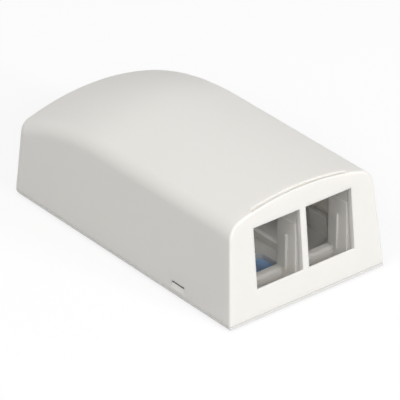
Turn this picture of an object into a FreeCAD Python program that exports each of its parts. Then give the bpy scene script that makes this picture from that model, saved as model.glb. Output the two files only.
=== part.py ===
import FreeCAD, Part
import math
import os

from FreeCAD import Vector

# Surface mount jack box: a moulded hood that drops over a moulded base plate.
# Millimetres. +Z points away from the surface that the box is fixed to, the two jack
# ports face -Y, and the origin is the middle of the footprint, at the lowest face.
# A setback is measured from the foot of the front wall towards the rear.

# Cover, outside
width = 50.0
length = 90.5
height = 31.2
side_draft = 4.7
front_draft = 6.0
rear_draft = 3.2
crown_radius = 70.0
tail_radius = 85.0
tail_setback = 54.5
shoulder_radius = 4.8
front_corner_radius = 0.6
rear_corner_radius = 4.2
foot_chamfer = 0.25

# Cover, walls
side_wall = 1.8
front_wall = 1.5
rear_wall = 1.8
roof_wall = 1.8
corner_chamfer = 1.6

# Crescent-shaped step in the roof's front edge, whose floor falls towards the rear
crescent_width = 31.0
crescent_length = 1.35
crescent_radius = 75.0
crescent_front_drop = 0.15
crescent_rear_drop = 0.85
crescent_corner_radius = 1.0

# Jack ports
port_width = 14.8
port_height = 16.7
port_pitch = 16.7
port_sill = 8.5
port_chamfer = 0.2
sill_width = 0.45

# Pry slots in the cover's sides, each with a scoop below it and a catch pocket behind it
slot_setback = 20.9
slot_length = 5.1
slot_height = 0.45
slot_sill = 3.7
scoop_height = 1.4
scoop_depth = 0.7
pocket_length = 8.0
pocket_height = 2.4
pocket_depth = 0.8

# Cable breakout in the cover's rear wall, scored round its edge
breakout_width = 16.0
breakout_height = 9.0
breakout_skin = 0.8
score_width = 0.6
score_depth = 0.3

# Adhesive pad, and the film that covers it until the box is fixed
liner_thickness = 0.15
pad_thickness = 0.7
pad_proud = 0.3
pad_margin = 3.0
pad_corner_radius = 3.0
pad_clearance = 0.3
pad_hole_radius = 3.5

# Base plate and the lip that locates the cover
flange_thickness = 0.8
flange_chamfer = 0.25
floor_thickness = 1.5
fit_clearance = 0.25
lip_height = 3.2
lip_thickness = 1.2

# Latches
latch_width = 7.0
latch_height = 5.9
latch_thickness = 1.3
latch_slit = 0.8
nose_reach = 0.5
nose_height = 1.6

# Bays that hold the jacks behind the ports
bay_clearance = 0.4
bay_length = 10.7
bay_wall = 1.5
bay_height = 26.2
header_length = 3.0
header_clearance = 0.3
guide_setback = 3.4
guide_top = 20.3
guide_proud = 0.3
rib_setback = 6.8
rib_width = 0.7
rib_proud = 0.5
rib_bottom = 5.9
rib_top = 16.0
rail_width = 2.3
rail_height = 3.9
rail_radius = 0.8
gusset_width = 1.2
gusset_length = 3.4
gusset_height = 12.0
gusset_setback = 7.0

# Cable window in the base's floor
window_width = 18.4
window_length = 11.0
window_setback = 1.2
window_shift = -5.7
window_radius = 2.0

# Keel ribs, screw bosses and cable tie bridges on the base
keel_pitch = 15.2
keel_width = 1.2
keel_height = 2.0
keel_gap = 0.2
keel_end_setback = 79.5
screw_radius = 2.1
screw_head_radius = 4.0
screw_pitch = 40.0
screw_setback = 56.0
boss_radius = 5.6
boss_height = 1.6
bridge_setback = 66.0
bridge_pitch = 30.0
bridge_span = 6.0
bridge_post = 1.4
bridge_length = 3.0
bridge_height = 3.4
bridge_bar = 1.4

# How far a cut runs past the faces that it opens, and the slack when faces are compared
overrun = 2.0
tiny = 0.01

# Levels and places worked out from the sizes above
front_y = -length / 2
rear_y = length / 2
base_z = liner_thickness + pad_proud
foot_z = base_z + flange_thickness
floor_z = base_z + floor_thickness
recess_z = liner_thickness + pad_thickness
lip_z = floor_z + lip_height
port_top = port_sill + port_height
divider_half = (port_pitch - port_width) / 2
jamb_x = (port_pitch + port_width) / 2
beyond = width + length
crest_z = height + shoulder_radius


def lean(draft, z):
    """How far a drafted face has moved in at this level."""
    return (z - foot_z) * math.tan(math.radians(draft))


def inset(draft, depth):
    """The level distance that lies this deep, measured square to a drafted face."""
    return depth / math.cos(math.radians(draft))


def side_at(z, depth=0.0):
    return width / 2 - lean(side_draft, z) - inset(side_draft, depth)


def front_at(z, depth=0.0):
    return front_y + lean(front_draft, z) + inset(front_draft, depth)


def rear_at(z, depth=0.0):
    return rear_y - lean(rear_draft, z) - inset(rear_draft, depth)


def box(x0, x1, y0, y1, z0, z1):
    return Part.makeBox(x1 - x0, y1 - y0, z1 - z0, Vector(x0, y0, z0))


def prism(points, run):
    """A flat outline swept along one straight run."""
    outline = Part.makePolygon([Vector(*point) for point in points + points[:1]])
    return Part.Face(outline).extrude(Vector(*run))


def across(points, x0, x1):
    """An outline given as (y, z), swept from x0 to x1."""
    return prism([(x0, y, z) for y, z in points], (x1 - x0, 0, 0))


def along(points, y0, y1):
    """An outline given as (x, z), swept from y0 to y1."""
    return prism([(x, y0, z) for x, z in points], (0, y1 - y0, 0))


def mirrored(solid):
    """The same form on the other side of the middle plane."""
    return solid.mirror(Vector(0, 0, 0), Vector(1, 0, 0))


def slab(x, y, size_x, size_y, z0, z1, radius):
    """A plate with rounded upright corners, centred on x and y."""
    plate = box(x - size_x / 2, x + size_x / 2, y - size_y / 2, y + size_y / 2, z0, z1)
    upright = [edge for edge in plate.Edges if edge.BoundBox.ZLength > (z1 - z0) / 2]
    return plate.makeFillet(radius, upright)


def corner_edges(solid, at_rear):
    """The edges between the side walls and the front or rear wall."""
    found = []
    for edge in solid.Edges:
        bounds = edge.BoundBox
        beside = bounds.XMin * bounds.XMax > 0 and (bounds.YMin > 0) == at_rear
        if beside and bounds.ZLength > 2 * max(bounds.XLength, bounds.YLength):
            found.append(edge)
    return found


def drafted_block(z0, z1, side=0.0, front=0.0, rear=0.0):
    """The space between the four leaning walls, each moved in by its own depth."""
    low_x, high_x = side_at(z0, side), side_at(z1, side)
    sides = [(-low_x, z0), (low_x, z0), (high_x, z1), (-high_x, z1)]
    low_y, high_y = front_at(z0, front), front_at(z1, front)
    ends = [(low_y, z0), (rear_at(z0, rear), z0), (rear_at(z1, rear), z1), (high_y, z1)]
    return along(sides, -beyond, beyond).common(across(ends, -beyond, beyond))


def arch(y, radius, peak):
    """A face across the box at y, filled under an arc that peaks on the middle plane."""
    half = width / 2 + overrun
    spring = peak - radius + math.sqrt(radius ** 2 - half ** 2)
    left, right = Vector(-half, y, spring), Vector(half, y, spring)
    top = Part.Arc(left, Vector(0, y, peak), right).toShape()
    rest = Part.makePolygon([right, Vector(half, y, -height), Vector(-half, y, -height), left])
    return Part.Face(Part.Wire(top.Edges + rest.Edges))


def under_roof(depth):
    """The space under the roof: a level arch, then the same arch swung down to the rear."""
    radius, peak, turn_y = crown_radius - depth, height - depth, front_y + tail_setback
    level = arch(front_y - overrun, radius, peak).extrude(Vector(0, tail_setback + overrun, 0))
    axis_z = height - tail_radius
    swing = math.degrees(math.atan2(length - tail_setback + overrun, -axis_z - overrun))
    tail = arch(turn_y, radius, peak).revolve(Vector(0, turn_y, axis_z), Vector(-1, 0, 0), swing)
    return level.fuse(tail)


def roof_edges(solid):
    """The edges where the roof meets the side walls, the rear corners and the rear wall."""
    found = []
    for edge in solid.Edges:
        bounds = edge.BoundBox
        high = bounds.ZMin > height / 3
        at_front = bounds.YMax < front_at(height, roof_wall)
        over_roof = bounds.XMin < 0 < bounds.XMax and bounds.YLength < tiny
        if high and not at_front and not over_roof and bounds.ZLength < height / 2:
            found.append(edge)
    return found


def hood():
    """The hood as a solid form, with its rounded shoulders, front edges and chamfered foot."""
    block = drafted_block(foot_z, crest_z)
    block = block.makeFillet(rear_corner_radius, corner_edges(block, True))
    form = block.common(under_roof(0)).Solids[0]
    form = form.makeFillet(shoulder_radius, roof_edges(form))
    form = form.makeFillet(front_corner_radius, corner_edges(form, False))
    foot = [edge for edge in form.Edges if edge.BoundBox.ZMax < foot_z + tiny]
    return form.makeChamfer(foot_chamfer, foot)


def within_walls(z0, z1, gap=0.0):
    """The space inside the hood's walls, or inside a gap from them, with its rear corners cut off."""
    block = drafted_block(z0, z1, side_wall + gap, front_wall + gap, rear_wall + gap)
    return block.makeChamfer(corner_chamfer, corner_edges(block, True))


def hollow():
    """The space inside the hood, rounded along its shoulders."""
    form = within_walls(foot_z - overrun, crest_z).common(under_roof(roof_wall)).Solids[0]
    edges = [edge for edge in roof_edges(form) if edge.BoundBox.YLength > 2 * edge.BoundBox.XLength]
    return form.makeFillet(shoulder_radius - roof_wall, edges)


def crescent_cut():
    """A shallow pocket open to the front. Its floor is an arch swept back and slightly down."""
    rim_y = front_at(height)
    fall = (crescent_rear_drop - crescent_front_drop) / crescent_length
    start = arch(rim_y - overrun, crescent_radius, height - crescent_front_drop + overrun * fall)
    run = 2 * overrun + crescent_length
    below = start.extrude(Vector(0, run, -run * fall))
    size_y = 2 * crescent_corner_radius + crescent_length
    middle_y = rim_y + crescent_length - size_y / 2
    pocket = slab(0, middle_y, crescent_width, size_y, port_top, crest_z, crescent_corner_radius)
    return pocket.cut(below)


def port_cut(x):
    """One jack port through the front wall. Its sill is a narrow ledge that falls away inside."""
    x0, x1 = x - port_width / 2, x + port_width / 2
    outside_y, inside_y = front_y - overrun, front_at(port_top, front_wall) + overrun
    through = box(x0, x1, outside_y, inside_y, port_sill, port_top)
    low = port_sill - port_chamfer
    edge_y = front_at(port_sill) + port_chamfer
    edge = [(outside_y, low), (front_at(low), low), (edge_y, port_sill), (outside_y, port_sill)]
    fall_y = front_at(port_sill) + sill_width
    fall = [(fall_y, port_sill), (inside_y, port_sill + fall_y - inside_y), (inside_y, port_sill)]
    return through.multiFuse([across(edge, x0, x1), across(fall, x0, x1)])


def slot_cut():
    """A pry slot in the right wall: the slit, the scoop below it and the pocket behind it."""
    y = front_y + slot_setback
    y0, y1 = y - slot_length / 2, y + slot_length / 2
    low, high, top = slot_sill - scoop_height, slot_sill + slot_height, slot_sill + pocket_height
    open_x = side_at(high, side_wall + overrun)
    slit = box(open_x, width, y0, y1, slot_sill, high)
    deep_x = side_at(slot_sill, scoop_depth)
    scoop = [(width, low), (side_at(low), low), (deep_x, slot_sill), (width, slot_sill)]
    pocket = [
        (open_x, slot_sill),
        (side_at(slot_sill, side_wall - pocket_depth), slot_sill),
        (side_at(top, side_wall - pocket_depth), top),
        (side_at(top + pocket_depth, side_wall), top + pocket_depth),
        (open_x, top + pocket_depth),
    ]
    catch = along(pocket, y - pocket_length / 2, y + pocket_length / 2)
    return slit.multiFuse([along(scoop, y0, y1), catch])


def breakout_cut():
    """The thinned panel inside the rear wall, and the fine score round it outside."""
    half, low, top = breakout_width / 2, foot_z - overrun, foot_z + breakout_height
    panel = box(-half, half, 0, rear_y + overrun, low, top)
    frame = box(-half - score_width, half + score_width, 0, rear_y + overrun, low, top + score_width)
    score = frame.cut(panel).cut(drafted_block(low - overrun, height, rear=score_depth))
    hollow = panel.common(drafted_block(low - overrun, height, rear=breakout_skin))
    return hollow.fuse(score)


def cover():
    """The moulded hood: one shell with the ports, pry slots and breakout."""
    shell = hood().cut(crescent_cut()).cut(hollow())
    for x in (-port_pitch / 2, port_pitch / 2):
        shell = shell.cut(port_cut(x))
    slot = slot_cut()
    return shell.cut(slot).cut(mirrored(slot)).cut(breakout_cut())


def flange():
    """The base's edge, which stays in view below the cover's foot."""
    plate = box(-width / 2, width / 2, front_y, rear_y, base_z, foot_z)
    plate = plate.makeFillet(rear_corner_radius, corner_edges(plate, True))
    plate = plate.makeFillet(front_corner_radius, corner_edges(plate, False))
    rim = [edge for edge in plate.Edges if edge.BoundBox.ZMax < base_z + tiny]
    return plate.makeChamfer(flange_chamfer, rim)


def tray():
    """The floor inside the cover, with the lip round it open at the latches and breakout."""
    above = lip_z + overrun
    block = within_walls(foot_z, lip_z, fit_clearance)
    block = block.cut(within_walls(floor_z, above, fit_clearance + lip_thickness))
    y = front_y + slot_setback
    half = latch_width / 2 + latch_slit
    inside = side_at(above, side_wall + fit_clearance + lip_thickness) - overrun
    gap = box(inside, width, y - half, y + half, floor_z, above)
    half = breakout_width / 2 + fit_clearance
    inside = rear_at(above, rear_wall + fit_clearance + lip_thickness) - overrun
    doorway = box(-half, half, inside, rear_y, floor_z, above)
    return block.cut(gap).cut(mirrored(gap)).cut(doorway)


def latch():
    """The right-hand tongue, with a nose that stands just short of the cover's wall."""
    face = side_wall + fit_clearance
    front, back = face + nose_reach, face + nose_reach + latch_thickness
    low, high, top = slot_sill, slot_sill + nose_height, floor_z + latch_height
    outline = [
        (side_at(floor_z, back), floor_z),
        (side_at(floor_z, front), floor_z),
        (side_at(low, front), low),
        (side_at(low, face), low),
        (side_at(high, front), high),
        (side_at(top, front), top),
        (side_at(top, back), top),
    ]
    y = front_y + slot_setback
    return along(outline, y - latch_width / 2, y + latch_width / 2)


def bay_plate(x0, x1, top):
    """An upright plate of the bays, whose front edge follows the cover's front wall."""
    depth, back = front_wall + bay_clearance, front_y + bay_length
    low_y, high_y = front_at(floor_z, depth), front_at(top, depth)
    return across([(low_y, floor_z), (back, floor_z), (back, top), (high_y, top)], x0, x1)


def bay_half():
    """The right-hand half of the bays: the jamb, its gusset, and the guides and ribs."""
    foot_x, back = jamb_x + bay_wall, front_y + bay_length
    gusset = [(foot_x, floor_z), (foot_x + gusset_length, floor_z), (foot_x, floor_z + gusset_height)]
    gusset_y = front_y + gusset_setback
    parts = [along(gusset, gusset_y, gusset_y + gusset_width)]
    guide_y, rib_y = front_y + guide_setback, front_y + rib_setback
    top_y = max(guide_y, front_at(guide_top, front_wall + bay_clearance))
    guide = [(guide_y, floor_z), (back, floor_z), (back, guide_top), (top_y, guide_top)]
    rise = guide_proud + rib_proud
    for x0, x1 in ((jamb_x - guide_proud, jamb_x), (divider_half, divider_half + guide_proud)):
        parts.append(across(guide, x0, x1))
    for x0, x1 in ((jamb_x - rise, jamb_x), (divider_half, divider_half + rise)):
        parts.append(box(x0, x1, rib_y, rib_y + rib_width, rib_bottom, rib_top))
    return bay_plate(jamb_x, foot_x, bay_height).multiFuse(parts)


def bays():
    """The two bays: jambs and divider, the header over them and the sill rail below."""
    divider = bay_plate(-divider_half, divider_half, bay_height)
    end, back = jamb_x + bay_wall, front_y + bay_length
    low, top, depth = port_top + header_clearance, bay_height, front_wall + bay_clearance
    low_y, high_y = front_at(low, depth), front_at(top, depth)
    behind = low_y + header_length
    header = across([(low_y, low), (behind, low), (behind, top), (high_y, top)], -end, end)
    rail = box(-end, end, back - rail_width, back, floor_z, floor_z + rail_height)
    at_top = [edge for edge in rail.Edges if edge.BoundBox.ZMin > floor_z + tiny]
    rail = rail.makeFillet(rail_radius, [edge for edge in at_top if edge.BoundBox.YMax < back - tiny])
    half = bay_half()
    return divider.multiFuse([header, rail, half, mirrored(half)])


def window(z0, z1):
    """The space of the cable window between two levels."""
    y = front_y + bay_length + window_setback + window_length / 2
    return slab(window_shift, y, window_width, window_length, z0, z1, window_radius)


def screw_places():
    y = front_y + screw_setback
    return [Vector(0, y - screw_pitch / 2, 0), Vector(0, y + screw_pitch / 2, 0)]


def screw_hole(place):
    """A through hole with a countersink at the top of its boss."""
    top = floor_z + boss_height
    deep = screw_head_radius - screw_radius
    shank = Part.makeCylinder(screw_radius, top + overrun, place)
    sink = Part.makeCone(screw_radius, screw_head_radius, deep, place + Vector(0, 0, top - deep))
    return shank.fuse(sink)


def keel(x, y0):
    """A stiffening rib on the floor, from y0 to the rear."""
    x0, x1 = x - keel_width / 2, x + keel_width / 2
    return box(x0, x1, y0, front_y + keel_end_setback, floor_z, floor_z + keel_height)


def tie_bridge(x):
    """A low bridge that a cable tie is threaded under."""
    y = front_y + bridge_setback
    half = bridge_span / 2
    top = floor_z + bridge_height
    whole = box(x - half - bridge_post, x + half + bridge_post, y, y + bridge_length, floor_z, top)
    under = box(x - half, x + half, y - overrun, y + bridge_length + overrun, floor_z, top - bridge_bar)
    return whole.cut(under)


def base():
    """The moulded base: flange, floor and lip, latches, bays, window, bosses and ribs."""
    latch_right = latch()
    back = front_y + bay_length
    behind_window = back + window_setback + window_length + keel_gap
    parts = [tray(), latch_right, mirrored(latch_right), bays()]
    parts.append(keel(-keel_pitch / 2, behind_window))
    parts.append(keel(keel_pitch / 2, back - rail_width / 2))
    parts.append(tie_bridge(-bridge_pitch / 2))
    parts.append(tie_bridge(bridge_pitch / 2))
    for place in screw_places():
        parts.append(Part.makeCylinder(boss_radius, boss_height, place + Vector(0, 0, floor_z)))
    body = flange().multiFuse(parts)
    size_x = width - 2 * (pad_margin - pad_clearance)
    size_y = length - 2 * (pad_margin - pad_clearance)
    body = body.cut(slab(0, 0, size_x, size_y, base_z - overrun, recess_z, pad_corner_radius + pad_clearance))
    body = body.cut(window(base_z - overrun, lip_z))
    for place in screw_places():
        body = body.cut(screw_hole(place))
    return body.removeSplitter()


def pad_outline(z0, z1):
    return slab(0, 0, width - 2 * pad_margin, length - 2 * pad_margin, z0, z1, pad_corner_radius)


def adhesive_pad():
    """The foam pad, die-cut clear of the window and the screws."""
    pad = pad_outline(liner_thickness, recess_z).cut(window(0, recess_z + overrun))
    for place in screw_places():
        pad = pad.cut(Part.makeCylinder(pad_hole_radius, recess_z + overrun, place))
    return pad


def release_liner():
    """The film over the pad, whole across the window."""
    return pad_outline(0, liner_thickness)


def main():
    os.makedirs("parts", exist_ok=True)
    nodes = {
        "cover": cover(),
        "base": base(),
        "adhesive_pad": adhesive_pad(),
        "release_liner": release_liner(),
    }
    for name, shape in nodes.items():
        solids = shape.Solids
        print(name, len(solids), "solid", round(shape.Volume, 2), "mm3", shape.isValid())
        (solids[0] if len(solids) == 1 else shape).exportStep("parts/" + name + ".step")


if __name__ == "__main__":
    main()
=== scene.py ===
"""The looks of a surface mount jack box: moulded plastic, foam, release film and a pale stage."""

import math

import bpy
from bpy.props import FloatProperty, FloatVectorProperty, PointerProperty
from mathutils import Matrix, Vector


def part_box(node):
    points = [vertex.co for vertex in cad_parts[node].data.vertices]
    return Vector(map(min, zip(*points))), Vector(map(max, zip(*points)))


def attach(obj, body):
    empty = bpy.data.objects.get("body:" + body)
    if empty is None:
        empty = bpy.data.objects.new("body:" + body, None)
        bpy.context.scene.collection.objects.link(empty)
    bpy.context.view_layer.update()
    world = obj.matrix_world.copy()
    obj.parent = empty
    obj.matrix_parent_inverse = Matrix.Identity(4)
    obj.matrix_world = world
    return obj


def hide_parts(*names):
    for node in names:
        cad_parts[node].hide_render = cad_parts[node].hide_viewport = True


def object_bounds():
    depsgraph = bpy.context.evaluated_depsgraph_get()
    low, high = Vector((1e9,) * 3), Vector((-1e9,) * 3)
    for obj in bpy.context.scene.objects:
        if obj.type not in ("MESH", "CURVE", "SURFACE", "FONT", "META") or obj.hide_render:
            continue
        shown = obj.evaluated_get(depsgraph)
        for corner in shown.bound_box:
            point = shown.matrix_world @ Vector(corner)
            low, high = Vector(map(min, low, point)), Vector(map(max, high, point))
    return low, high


bl_info = {
    "name": "Jack Box Looks",
    "version": (1, 0, 0),
    "blender": (4, 5, 0),
    "location": "3D View > Sidebar > Jack Box",
    "description": "Gives a surface mount jack box its finishes, its foam pad and a pale stage",
    "category": "Object",
}

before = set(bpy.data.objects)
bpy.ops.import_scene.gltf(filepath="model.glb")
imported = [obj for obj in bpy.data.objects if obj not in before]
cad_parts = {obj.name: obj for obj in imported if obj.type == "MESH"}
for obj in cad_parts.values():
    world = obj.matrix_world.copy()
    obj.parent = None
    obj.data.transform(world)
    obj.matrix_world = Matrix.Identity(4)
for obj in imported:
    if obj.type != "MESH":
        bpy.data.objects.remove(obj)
cad_low, cad_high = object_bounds()

MM = 0.001
WHITE = (1.0, 1.0, 1.0, 1.0)
MIX_FIRST, MIX_SECOND, MIX_RESULT = 6, 7, 2
BASE_BODY = "base_unit"
CORNER_STEPS = 12
DISC_STEPS = 64
EDGE_STEPS = 3
SHARP_ANGLE = math.radians(50.0)
SMOOTH_ANGLE = math.radians(35.0)
FLOOR_GAP = 0.05 * MM

# Ejector pins: their places as shares of the base's width and length
PIN_SHARE_ACROSS = 0.27
PIN_SHARES_ALONG = (0.40, 0.60, 0.90)

# Places and distances on the stage, in metres
LOW_LAMP_PLACE = (0.22, -1.04, 0.28)
HIGH_LAMP_PLACE = (0.0, -0.92, 0.60)
CORNER_LAMP_PLACE = (-0.597, -0.742, 0.55)
SIDE_LAMP_PLACE = (-0.80, -0.20, 0.70)
CAMERA_PIVOT = (0.0, 0.0, 0.012)
CAMERA_AIM = (0.00019, -0.00228, 0.00913)
NEAREST_SEEN = 0.05
FARTHEST_SEEN = 20.0


class Field:
    """A shader value. Python arithmetic on it adds Math nodes to the material that it belongs to."""

    def __init__(self, tree, socket):
        self.tree = tree
        self.socket = socket

    def math(self, operation, first, second=0.0, clamp=False):
        """Adds one Math node and returns its value."""
        node = self.tree.nodes.new("ShaderNodeMath")
        node.operation = operation
        node.use_clamp = clamp
        plug(self.tree, node.inputs[0], first)
        plug(self.tree, node.inputs[1], second)
        return Field(self.tree, node.outputs[0])

    def __add__(self, other):
        return self.math("ADD", self, other)

    def __sub__(self, other):
        return self.math("SUBTRACT", self, other)

    def __rsub__(self, other):
        return self.math("SUBTRACT", other, self)

    def __mul__(self, other):
        return self.math("MULTIPLY", self, other)

    def __pow__(self, other):
        return self.math("POWER", self, other)

    def __abs__(self):
        return self.math("ABSOLUTE", self)

    __radd__ = __add__
    __rmul__ = __mul__

    def lowest(self, other):
        """The lower of two values."""
        return self.math("MINIMUM", self, other)

    def under(self, limit, soft):
        """1 where the value is below the limit, easing to 0 over the soft distance past it."""
        return self.math("MULTIPLY", limit + soft - self, 1.0 / soft, clamp=True)


def plug(tree, socket, value):
    """Links a shader value to a socket, or sets the socket to a plain number, colour or vector."""
    if isinstance(value, Field):
        tree.links.new(value.socket, socket)
    else:
        socket.default_value = value


class Graph:
    """The node tree of a material or of the sky."""

    def __init__(self, tree):
        self.tree = tree
        tree.nodes.clear()

    def node(self, kind, settings=None, sockets=None, output=0):
        """Adds a node: first its settings, then its sockets. Returns the output, or outputs, asked for."""
        made = self.tree.nodes.new(kind)
        for key, value in (settings or {}).items():
            setattr(made, key, value)
        for key, value in (sockets or {}).items():
            plug(self.tree, made.inputs[key], value)
        if isinstance(output, tuple):
            return [Field(self.tree, made.outputs[key]) for key in output]
        return Field(self.tree, made.outputs[output]) if made.outputs else None

    def blend(self, amount, first, second):
        """A colour between two colours."""
        sockets = {0: amount, MIX_FIRST: first, MIX_SECOND: second}
        return self.node("ShaderNodeMix", {"data_type": "RGBA"}, sockets, MIX_RESULT)

    def seen(self):
        """1 for what is seen straight on, mirrored or through a clear piece. 0 for what only lights."""
        rays = ("Is Camera Ray", "Is Glossy Ray", "Is Transmission Ray")
        straight, mirrored, through = self.node("ShaderNodeLightPath", output=rays)
        return (straight + mirrored + through).lowest(1.0)


class Finish(Graph):
    """A material being built round one Principled shader."""

    def __init__(self, name):
        self.material = bpy.data.materials.new(name)
        self.material.use_nodes = True
        super().__init__(self.material.node_tree)
        self.shader = self.tree.nodes.new("ShaderNodeBsdfPrincipled")
        self.output = self.tree.nodes.new("ShaderNodeOutputMaterial")
        self.lit = Field(self.tree, self.shader.outputs["BSDF"])
        self.show(self.lit)

    def show(self, surface):
        """Makes this the surface that the material shows, in place of the one before it."""
        plug(self.tree, self.output.inputs["Surface"], surface)

    def place(self):
        """The point on the piece, in metres."""
        return self.node("ShaderNodeTexCoord", output="Object")

    def axes(self, vector):
        """The X, Y and Z of a vector."""
        return self.node("ShaderNodeSeparateXYZ", sockets={"Vector": vector}, output=("X", "Y", "Z"))

    def noise(self, place, grain, detail=2.0, roughness=0.5):
        """Noise from 0 to 1 whose grains are about this large, in metres."""
        settings = {"noise_dimensions": "3D"}
        sockets = {"Vector": place, "Scale": 1.0 / grain, "Detail": detail, "Roughness": roughness}
        return self.node("ShaderNodeTexNoise", settings, sockets, "Fac")

    def bump(self, height, depth, normal=None):
        """A bumped normal. The height runs from 0 to 1 and the depth is in metres."""
        sockets = {"Strength": 1.0, "Distance": depth, "Height": height}
        if normal is not None:
            sockets["Normal"] = normal
        return self.node("ShaderNodeBump", sockets=sockets, output="Normal")

    def set(self, **values):
        """Sets or links the shader's sockets, named with _ for a space."""
        for key, value in values.items():
            plug(self.tree, self.shader.inputs[key.replace("_", " ")], value)


def rgba(colour, factor=1.0):
    """A colour with its alpha, darkened by the factor."""
    return (colour[0] * factor, colour[1] * factor, colour[2] * factor, 1.0)


def pin_rings(finish, place, centres, radius, width):
    """1 on the witness rings that ejector pins leave at these centres, and 0 elsewhere."""
    x, y, _ = finish.axes(place)
    nearest = None
    for centre_x, centre_y in centres:
        off_ring = abs(((x - centre_x) ** 2.0 + (y - centre_y) ** 2.0) ** 0.5 - radius)
        nearest = off_ring if nearest is None else nearest.lowest(off_ring)
    return nearest.under(width * 0.5, width * 0.5)


def pin_places():
    """Where the ejector pins press: pairs clear of the ribs, bosses and window."""
    low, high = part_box("base")
    across, along = high.x - low.x, high.y - low.y
    return [
        (side * across * PIN_SHARE_ACROSS, low.y + along * share)
        for side in (-1, 1)
        for share in PIN_SHARES_ALONG
    ]


def painted_slit_shade(finish, place, look):
    """Mask of painted shade: 1 in the two pry slits and the deep end of their scoops, which open into the
    dark box and are darkened in the colour.
    """
    x, y, z = finish.axes(place)
    inside = abs(x).under(look.slit_reach, look.slit_softness)
    along = abs(y - look.slit_middle).under(look.slit_length / 2, look.slit_softness)
    up = abs(z - look.slit_level).under(look.slit_height / 2, look.slit_softness)
    return inside * along * up


def moulded_plastic(name, look, inner_side, painted_shade_mask=None):
    """White moulded plastic: a fine eroded grain, faint flow tones, pin rings on the inner side and, where a
    mask is given, painted shade in the pry slits.
    """
    finish = Finish(name)
    place = finish.place()
    grain = finish.noise(place, look.grain_size, detail=3.0, roughness=0.6)
    flow = finish.noise(place, look.flow_size)
    polish = finish.noise(place, look.polish_size, detail=3.0, roughness=0.55)
    on_pins = pin_rings(finish, place, pin_places(), look.pin_radius, look.pin_width)
    rings = on_pins * inner_side(finish, place, look)
    flowed = finish.blend(flow, rgba(look.colour), rgba(look.flow_colour))
    colour = finish.blend(rings * look.pin_shade, flowed, rgba(look.colour, look.pin_tone))
    # Painted shade: the pry slits and the deep end of their scoops are darkened in the base colour.
    if painted_shade_mask is not None:
        colour = finish.blend(painted_shade_mask(finish, place, look), colour, rgba(look.colour, look.slit_shade_tone))
    eroded = finish.bump(grain, look.grain_depth)
    finish.set(
        Base_Color=colour,
        Roughness=look.roughness + (polish - 0.5) * look.polish_range + (grain - 0.5) * look.grain_range,
        Normal=finish.bump(1.0 - rings, look.pin_depth, normal=eroded),
    )
    finish.set(
        IOR=look.refraction,
        Specular_IOR_Level=look.gloss,
        Subsurface_Weight=look.milkiness,
        Subsurface_Scale=look.light_depth,
        Subsurface_Radius=look.light_reach,
    )
    return finish.material


def facing(finish):
    """How far a face looks up, from -1 for straight down to 1 for straight up."""
    normal = finish.node("ShaderNodeNewGeometry", output="True Normal")
    return finish.axes(normal)[2]


def facing_down(finish, place, look):
    """1 on the underside of the cover's roof, which looks nearly straight down."""
    nearly_down, fade = -0.8, 0.1
    return facing(finish).under(nearly_down, fade)


def on_floor(finish, place, look):
    """1 on the upper face of the base's floor, between the ribs."""
    low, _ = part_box("base")
    off_floor = abs(finish.axes(place)[2] - (low.z + look.floor_rise))
    return off_floor.under(look.floor_slack, look.floor_slack)


def foam(look):
    """Closed-cell foam: cells that show on the cut edges, under a glossier adhesive on both faces."""
    finish = Finish("foam")
    place = finish.place()
    cells = finish.node(
        "ShaderNodeTexVoronoi",
        {"feature": "SMOOTH_F1"},
        {"Vector": place, "Scale": 1.0 / look.cell_size, "Smoothness": look.cell_blur},
        "Distance",
    )
    half_upright, fade = 0.5, 0.3
    cut_edge = abs(facing(finish)).under(half_upright, fade)
    patches = finish.noise(place, look.patch_size)
    tone = finish.blend(patches, rgba(look.colour), rgba(look.colour, look.patch_tone))
    rougher = (look.edge_roughness - look.face_roughness) * cut_edge
    opened = look.face_cells + (1.0 - look.face_cells) * cut_edge
    finish.set(
        Base_Color=finish.blend(cells * look.cell_shade, tone, rgba(look.colour, look.cell_tone)),
        Roughness=look.face_roughness + rougher + (patches - 0.5) * look.patch_range,
        Normal=finish.bump(cells, look.cell_depth * opened),
    )
    return finish.material


def release_film(look):
    """Blue siliconised film: smooth, faintly rippled, with paler streaks along its roll."""
    finish = Finish("release_film")
    place = finish.place()
    stretched = finish.node(
        "ShaderNodeMapping",
        {"vector_type": "POINT"},
        {"Vector": place, "Scale": (1.0, look.streak_stretch, 1.0)},
        "Vector",
    )
    streaks = finish.noise(stretched, look.streak_width, detail=3.0, roughness=0.6)
    ripple = finish.noise(place, look.ripple_width, detail=1.0, roughness=0.4)
    finish.set(
        Base_Color=finish.blend(streaks, rgba(look.colour), rgba(look.streak_colour)),
        Roughness=look.roughness + (streaks - 0.5) * look.roughness_range,
        Normal=finish.bump(ripple, look.ripple_depth),
    )
    finish.set(Coat_Weight=look.coat, Coat_Roughness=look.coat_roughness)
    return finish.material


def white_floor(look):
    """A pale floor that looks white, and on which the shadow of the box still shows."""
    finish = Finish("floor")
    seen = finish.seen()
    finish.set(Base_Color=finish.blend(seen, rgba(look.floor_colour), rgba(look.floor_seen_colour)))
    finish.set(Roughness=look.floor_roughness, Specular_IOR_Level=0.0)
    glow = finish.node("ShaderNodeEmission", sockets={"Color": WHITE, "Strength": look.floor_white})
    sockets = {0: seen * look.floor_glow, 1: finish.lit, 2: glow}
    finish.show(finish.node("ShaderNodeMixShader", sockets=sockets))
    return finish.material


def colour_property(name, description, default):
    """A colour that a user can set."""
    return FloatVectorProperty(
        name=name, description=description, default=default, subtype="COLOR", size=3, min=0.0, max=1.0
    )


def length_property(name, description, default):
    """A length, which is never negative."""
    return FloatProperty(
        name=name, description=description, default=default, unit="LENGTH", min=0.0, precision=6
    )


def place_property(name, description, default):
    """A place along one axis."""
    return FloatProperty(name=name, description=description, default=default, unit="LENGTH", precision=6)


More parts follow.
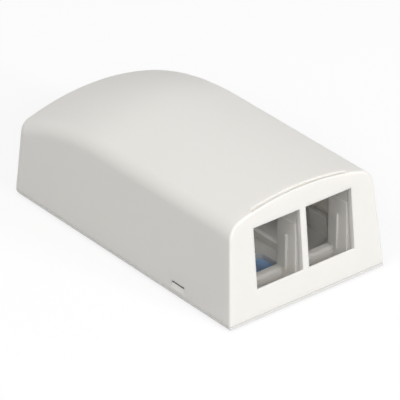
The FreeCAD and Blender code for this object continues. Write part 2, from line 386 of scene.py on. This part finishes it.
def lengths_property(name, description, default):
    """Two or three lengths or places, one for each axis."""
    return FloatVectorProperty(
        name=name, description=description, default=default, unit="LENGTH", size=len(default), precision=6
    )


def plain_property(name, description, default):
    """A number without a unit, which is never negative."""
    return FloatProperty(name=name, description=description, default=default, min=0.0)


class PlasticLook(bpy.types.PropertyGroup):
    """The white plastic of the cover and the base."""

    colour: colour_property("Colour", "Main colour of the plastic", (0.87, 0.853, 0.818))
    flow_colour: colour_property("Flow colour", "Deeper tone where the melt flowed", (0.85, 0.83, 0.79))
    flow_size: length_property("Flow size", "Size of the flow tones", 40.0 * MM)
    grain_size: length_property("Grain size", "Size of the eroded grain", 0.28 * MM)
    grain_depth: length_property("Grain depth", "Depth of the eroded grain", 0.012 * MM)
    roughness: plain_property("Roughness", "Mean roughness of the surface", 0.48)
    polish_size: length_property("Polish size", "Size of the patches of duller polish", 4.8 * MM)
    polish_range: plain_property("Polish range", "How far the roughness wanders", 0.10)
    grain_range: plain_property("Grain range", "How far the grain changes the roughness", 0.04)
    refraction: plain_property("Refraction", "Index of refraction", 1.53)
    gloss: plain_property("Gloss", "Strength of the mirrored light", 0.3)
    milkiness: plain_property("Milkiness", "Share of the light that passes into the plastic", 0.6)
    light_depth: length_property("Light depth", "How deep that light goes", 1.5 * MM)
    light_reach: FloatVectorProperty(
        name="Light reach",
        description="Share of that depth for red, green and blue",
        default=(1.0, 0.95, 0.9),
    )
    floor_rise: length_property("Floor rise", "Height of the floor's upper face over the foot", 1.5 * MM)
    floor_slack: length_property("Floor slack", "How near to that face a point of it lies", 0.05 * MM)
    pin_radius: length_property("Pin radius", "Radius of the rings left by the ejector pins", 1.6 * MM)
    pin_width: length_property("Pin ring width", "Width of those rings", 0.16 * MM)
    pin_depth: length_property("Pin ring depth", "Depth of those rings", 0.05 * MM)
    pin_shade: plain_property("Pin ring shade", "Strength of the rings' darker tone", 0.25)
    pin_tone: plain_property("Pin ring tone", "Brightness of that tone, as a share", 0.8)
    # Painted shade in the pry slits: where the dark stretch lies, how softly it fades and how dark it is
    # painted.
    slit_reach: length_property("Slit reach", "Distance across to where a slit turns dark", 24.37 * MM)
    slit_middle: place_property("Slit middle", "Place of the slits along the box", -24.35 * MM)
    slit_level: length_property("Slit level", "Height of the dark stretch's middle", 3.76 * MM)
    slit_length: length_property("Slit length", "Length of the dark stretch", 5.12 * MM)
    slit_height: length_property("Slit height", "Height of the dark stretch", 0.84 * MM)
    slit_softness: length_property("Slit softness", "How far the dark stretch fades out", 0.042 * MM)
    slit_shade_tone: plain_property("Slit tone", "Brightness of the dark stretch, as a share", 0.08)


class FoamLook(bpy.types.PropertyGroup):
    """The foam pad under the base."""

    corner_radius: length_property("Corner radius", "Radius of the pad's corners", 3.0 * MM)
    window_size: lengths_property("Window size", "Width and length of the window", (18.4 * MM, 11.0 * MM))
    window_place: lengths_property("Window place", "Middle of the cable window", (-5.7 * MM, -27.85 * MM))
    window_radius: length_property("Window radius", "Radius of the window's corners", 2.0 * MM)
    hole_radius: length_property("Hole radius", "Radius of the holes round the screws", 3.5 * MM)
    hole_pitch: length_property("Hole pitch", "Distance between those holes", 40.0 * MM)
    hole_middle: place_property("Hole middle", "Place along the box, midway between those holes", 10.75 * MM)
    colour: colour_property("Colour", "Colour of the foam", (0.80, 0.80, 0.77))
    cell_size: length_property("Cell size", "Size of the foam's cells", 0.22 * MM)
    cell_blur: plain_property("Cell blur", "How softly the cells run together, from 0 to 1", 0.6)
    cell_depth: length_property("Cell depth", "Depth of the opened cells", 0.05 * MM)
    cell_shade: plain_property("Cell shade", "Strength of the cells' darker tone", 0.5)
    cell_tone: plain_property("Cell tone", "Brightness of that tone, as a share", 0.72)
    face_cells: plain_property("Face cells", "Depth of the cells on the faces, as a share", 0.2)
    patch_size: length_property("Patch size", "Size of the foam's darker patches", 4.4 * MM)
    patch_tone: plain_property("Patch tone", "Brightness of the patches, as a share", 0.93)
    patch_range: plain_property("Patch range", "How far the patches change the roughness", 0.1)
    face_roughness: plain_property("Face roughness", "Roughness of the adhesive faces", 0.42)
    edge_roughness: plain_property("Edge roughness", "Roughness of the cut edges", 0.92)
    edge_radius: length_property("Edge radius", "How far the cut edges are rounded", 0.09 * MM)


class FilmLook(bpy.types.PropertyGroup):
    """The blue release film over the foam pad."""

    colour: colour_property("Colour", "Main colour of the film", (0.35, 0.58, 1.0))
    streak_colour: colour_property("Streak colour", "Colour of the paler streaks", (0.42, 0.64, 1.0))
    roughness: plain_property("Roughness", "Mean roughness of the film", 0.30)
    roughness_range: plain_property("Roughness range", "How far the streaks change the roughness", 0.12)
    coat: plain_property("Coat", "Strength of the silicone coat", 0.3)
    coat_roughness: plain_property("Coat roughness", "Roughness of that coat", 0.12)
    streak_width: length_property("Streak width", "Width of the streaks", 2.5 * MM)
    streak_stretch: plain_property("Streak stretch", "Width of a streak as a share of its length", 0.08)
    ripple_width: length_property("Ripple width", "Width of the ripples", 9.0 * MM)
    ripple_depth: length_property("Ripple depth", "Depth of the ripples", 0.06 * MM)


class StageLook(bpy.types.PropertyGroup):
    """The floor, the lamps and the camera."""

    floor_colour: colour_property("Floor colour", "Colour that it throws on the box", (0.32, 0.32, 0.32))
    floor_seen_colour: colour_property("Seen colour", "Colour that the floor shows", (0.95, 0.95, 0.95))
    floor_size: length_property("Floor size", "Side of the square floor", 6.0)
    floor_roughness: plain_property("Floor roughness", "Roughness of the floor", 0.9)
    floor_glow: plain_property("Floor glow", "Share of plain white in what is seen of the floor", 0.72)
    floor_white: plain_property("Floor white", "Level of that white", 1.05)
    sky_level: plain_property("Sky level", "Strength of the even light from all round", 0.52)
    small_lamp: length_property("Small lamp", "Side of the low, high and corner lamps", 0.20)
    broad_lamp: length_property("Broad lamp", "Side of the side lamp", 0.60)
    low_power: plain_property("Low power", "Power of the low lamp before the ports, in watts", 4.7)
    high_power: plain_property("High power", "Power of the high lamp before the ports, in watts", 1.5)
    corner_power: plain_property("Corner power", "Power of the lamp at the front left corner, in watts", 1.45)
    side_power: plain_property("Side power", "Power of the broad lamp high at the left, in watts", 2.55)
    azimuth: FloatProperty(
        name="Azimuth",
        description="Camera's turn round the box",
        default=math.radians(38.82),
        unit="ROTATION",
    )
    elevation: FloatProperty(
        name="Elevation",
        description="Camera's angle above the floor",
        default=math.radians(29.97),
        unit="ROTATION",
    )
    distance: length_property("Distance", "Camera's distance from the box", 1.044)
    focal_length: plain_property("Lens", "Focal length in millimetres", 368.9)


def dress(node_name, material):
    """Gives a CAD node its finish."""
    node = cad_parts[node_name]
    for slot in node.material_slots:
        slot.material = material


def add_block(name, centre, size, radius):
    """A block with rounded upright edges, left active."""
    bpy.ops.object.select_all(action="DESELECT")
    bpy.ops.mesh.primitive_cube_add(size=1.0, location=centre, scale=size)
    block = bpy.context.view_layer.objects.active
    block.name = name
    bpy.ops.object.transform_apply(location=True, rotation=True, scale=True)
    bpy.ops.object.mode_set(mode="EDIT")
    bpy.ops.mesh.select_mode(type="EDGE")
    bpy.ops.mesh.select_all(action="DESELECT")
    bpy.ops.object.mode_set(mode="OBJECT")
    points = block.data.vertices
    for edge in block.data.edges:
        first, second = (points[index].co for index in edge.vertices)
        edge.select = abs(first.z - second.z) > size[2] / 2
    bpy.ops.object.mode_set(mode="EDIT")
    bpy.ops.mesh.bevel(offset=radius, segments=CORNER_STEPS, affect="EDGES")
    bpy.ops.object.mode_set(mode="OBJECT")
    return block


def add_disc(name, centre, radius, thickness):
    """A round block, left active."""
    bpy.ops.object.select_all(action="DESELECT")
    bpy.ops.mesh.primitive_cylinder_add(vertices=DISC_STEPS, radius=radius, depth=thickness, location=centre)
    disc = bpy.context.view_layer.objects.active
    disc.name = name
    bpy.ops.object.transform_apply(location=True, rotation=True, scale=True)
    return disc


def activate(piece):
    """Selects one piece alone and makes it active."""
    bpy.ops.object.select_all(action="DESELECT")
    piece.select_set(True)
    bpy.context.view_layer.objects.active = piece


def cut_out(piece, cutter):
    """Cuts the cutter's form out of the piece, and deletes the cutter."""
    activate(piece)
    cut = piece.modifiers.new("Cut-out", "BOOLEAN")
    cut.operation = "DIFFERENCE"
    cut.solver = "EXACT"
    cut.object = cutter
    bpy.ops.object.modifier_apply(modifier=cut.name)
    activate(cutter)
    bpy.ops.object.delete()
    activate(piece)


class JACKBOX_OT_cover(bpy.types.Operator):
    """Give the moulded cover its finish, with painted shade in its pry slits."""

    bl_idname = "jackbox.cover"
    bl_label = "Finish the cover"

    def execute(self, context):
        look = context.scene.jackbox_plastic
        dress("cover", moulded_plastic("cover_plastic", look, facing_down, painted_slit_shade))
        return {"FINISHED"}


class JACKBOX_OT_base(bpy.types.Operator):
    """Give the moulded base its finish."""

    bl_idname = "jackbox.base"
    bl_label = "Finish the base"

    def execute(self, context):
        dress("base", moulded_plastic("base_plastic", context.scene.jackbox_plastic, on_floor))
        return {"FINISHED"}


class JACKBOX_OT_foam_pad(bpy.types.Operator):
    """Model the die-cut foam pad, with soft cut edges, in place of its plain solid."""

    bl_idname = "jackbox.foam_pad"
    bl_label = "Model the foam pad"

    def execute(self, context):
        look = context.scene.jackbox_foam
        low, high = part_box("adhesive_pad")
        centre, size = (low + high) / 2, high - low
        pad = add_block("foam_pad", centre, size, look.corner_radius)
        through = 4 * size.z
        opening = (look.window_place[0], look.window_place[1], centre.z)
        opening_size = (look.window_size[0], look.window_size[1], through)
        cut_out(pad, add_block("window_cutter", opening, opening_size, look.window_radius))
        for side in (-1, 1):
            hole = (0.0, look.hole_middle + side * look.hole_pitch / 2, centre.z)
            cut_out(pad, add_disc("hole_cutter", hole, look.hole_radius, through))
        rounding = pad.modifiers.new("Soft cut edges", "BEVEL")
        rounding.width = look.edge_radius
        rounding.segments = EDGE_STEPS
        rounding.limit_method = "ANGLE"
        rounding.angle_limit = SHARP_ANGLE
        bpy.ops.object.modifier_apply(modifier=rounding.name)
        bpy.ops.object.shade_smooth_by_angle(angle=SMOOTH_ANGLE)
        pad.data.materials.clear()
        pad.data.materials.append(foam(look))
        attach(pad, BASE_BODY)
        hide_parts("adhesive_pad")
        return {"FINISHED"}


class JACKBOX_OT_release_film(bpy.types.Operator):
    """Give the blue release film its finish."""

    bl_idname = "jackbox.release_film"
    bl_label = "Finish the release film"

    def execute(self, context):
        dress("release_liner", release_film(context.scene.jackbox_film))
        return {"FINISHED"}


def add_lamp(name, power, size, place, target):
    """A square area lamp that shines on the target, and isn't mirrored in the plastic's gloss."""
    bpy.ops.object.light_add(type="AREA", location=place)
    lamp = bpy.context.view_layer.objects.active
    lamp.name = name
    lamp.data.energy = power
    lamp.data.size = size
    lamp.visible_glossy = False
    lamp.rotation_euler = (Vector(target) - Vector(place)).to_track_quat("-Z", "Y").to_euler()


def light_sky(level):
    """An even sky that lights at its level and looks white."""
    world = bpy.data.worlds.new("sky")
    world.use_nodes = True
    graph = Graph(world.node_tree)
    strength = level + (1.0 - level) * graph.seen()
    sky = graph.node("ShaderNodeBackground", sockets={"Color": WHITE, "Strength": strength})
    graph.node("ShaderNodeOutputWorld", sockets={"Surface": sky})
    bpy.context.scene.world = world


class JACKBOX_OT_stage(bpy.types.Operator):
    """Set up the floor, the lamps, the sky and the camera."""

    bl_idname = "jackbox.stage"
    bl_label = "Set up the stage"

    def execute(self, context):
        look = context.scene.jackbox_stage
        context.scene.view_settings.view_transform = "Standard"
        bpy.ops.object.select_all(action="DESELECT")
        bpy.ops.mesh.primitive_plane_add(size=look.floor_size, location=(0.0, 0.0, -FLOOR_GAP))
        floor = context.view_layer.objects.active
        floor.name = "floor"
        floor.data.materials.append(white_floor(look))
        light_sky(look.sky_level)
        middle = (cad_low + cad_high) / 2
        add_lamp("low_lamp", look.low_power, look.small_lamp, LOW_LAMP_PLACE, middle)
        add_lamp("high_lamp", look.high_power, look.small_lamp, HIGH_LAMP_PLACE, middle)
        add_lamp("corner_lamp", look.corner_power, look.small_lamp, CORNER_LAMP_PLACE, middle)
        add_lamp("side_lamp", look.side_power, look.broad_lamp, SIDE_LAMP_PLACE, middle)
        self.add_camera(context, look)
        return {"FINISHED"}

    def add_camera(self, context, look):
        """A camera that looks at a point a little right of and below the middle of the box."""
        turn, rise = look.azimuth, look.elevation
        back = Vector((-math.sin(turn) * math.cos(rise), -math.cos(turn) * math.cos(rise), math.sin(rise)))
        place = Vector(CAMERA_PIVOT) + back * look.distance
        bpy.ops.object.camera_add(location=place)
        camera = context.view_layer.objects.active
        camera.name = "camera"
        camera.rotation_euler = (Vector(CAMERA_AIM) - place).to_track_quat("-Z", "Y").to_euler()
        camera.data.lens = look.focal_length
        camera.data.clip_start = NEAREST_SEEN
        camera.data.clip_end = FARTHEST_SEEN
        context.scene.camera = camera


class JACKBOX_PT_looks(bpy.types.Panel):
    """Lists the steps that dress the jack box, and their settings."""

    bl_label = "Jack Box"
    bl_idname = "JACKBOX_PT_looks"
    bl_space_type = "VIEW_3D"
    bl_region_type = "UI"
    bl_category = "Jack Box"

    def draw(self, context):
        layout = self.layout
        for operator in STEPS:
            layout.operator(operator.bl_idname)
        for key in GROUPS:
            box = layout.box()
            group = getattr(context.scene, key)
            for name in group.__annotations__:
                box.prop(group, name)


GROUPS = {
    "jackbox_plastic": PlasticLook,
    "jackbox_foam": FoamLook,
    "jackbox_film": FilmLook,
    "jackbox_stage": StageLook,
}
STEPS = (
    JACKBOX_OT_cover,
    JACKBOX_OT_base,
    JACKBOX_OT_foam_pad,
    JACKBOX_OT_release_film,
    JACKBOX_OT_stage,
)


def register():
    for cls in (*GROUPS.values(), *STEPS, JACKBOX_PT_looks):
        bpy.utils.register_class(cls)
    for key, group in GROUPS.items():
        setattr(bpy.types.Scene, key, PointerProperty(type=group))


def unregister():
    for key in GROUPS:
        delattr(bpy.types.Scene, key)
    for cls in reversed((*GROUPS.values(), *STEPS, JACKBOX_PT_looks)):
        bpy.utils.unregister_class(cls)


def main():
    register()
    bpy.ops.jackbox.cover()
    bpy.ops.jackbox.base()
    bpy.ops.jackbox.foam_pad()
    bpy.ops.jackbox.release_film()
    bpy.ops.jackbox.stage()


if __name__ == "__main__":
    main()
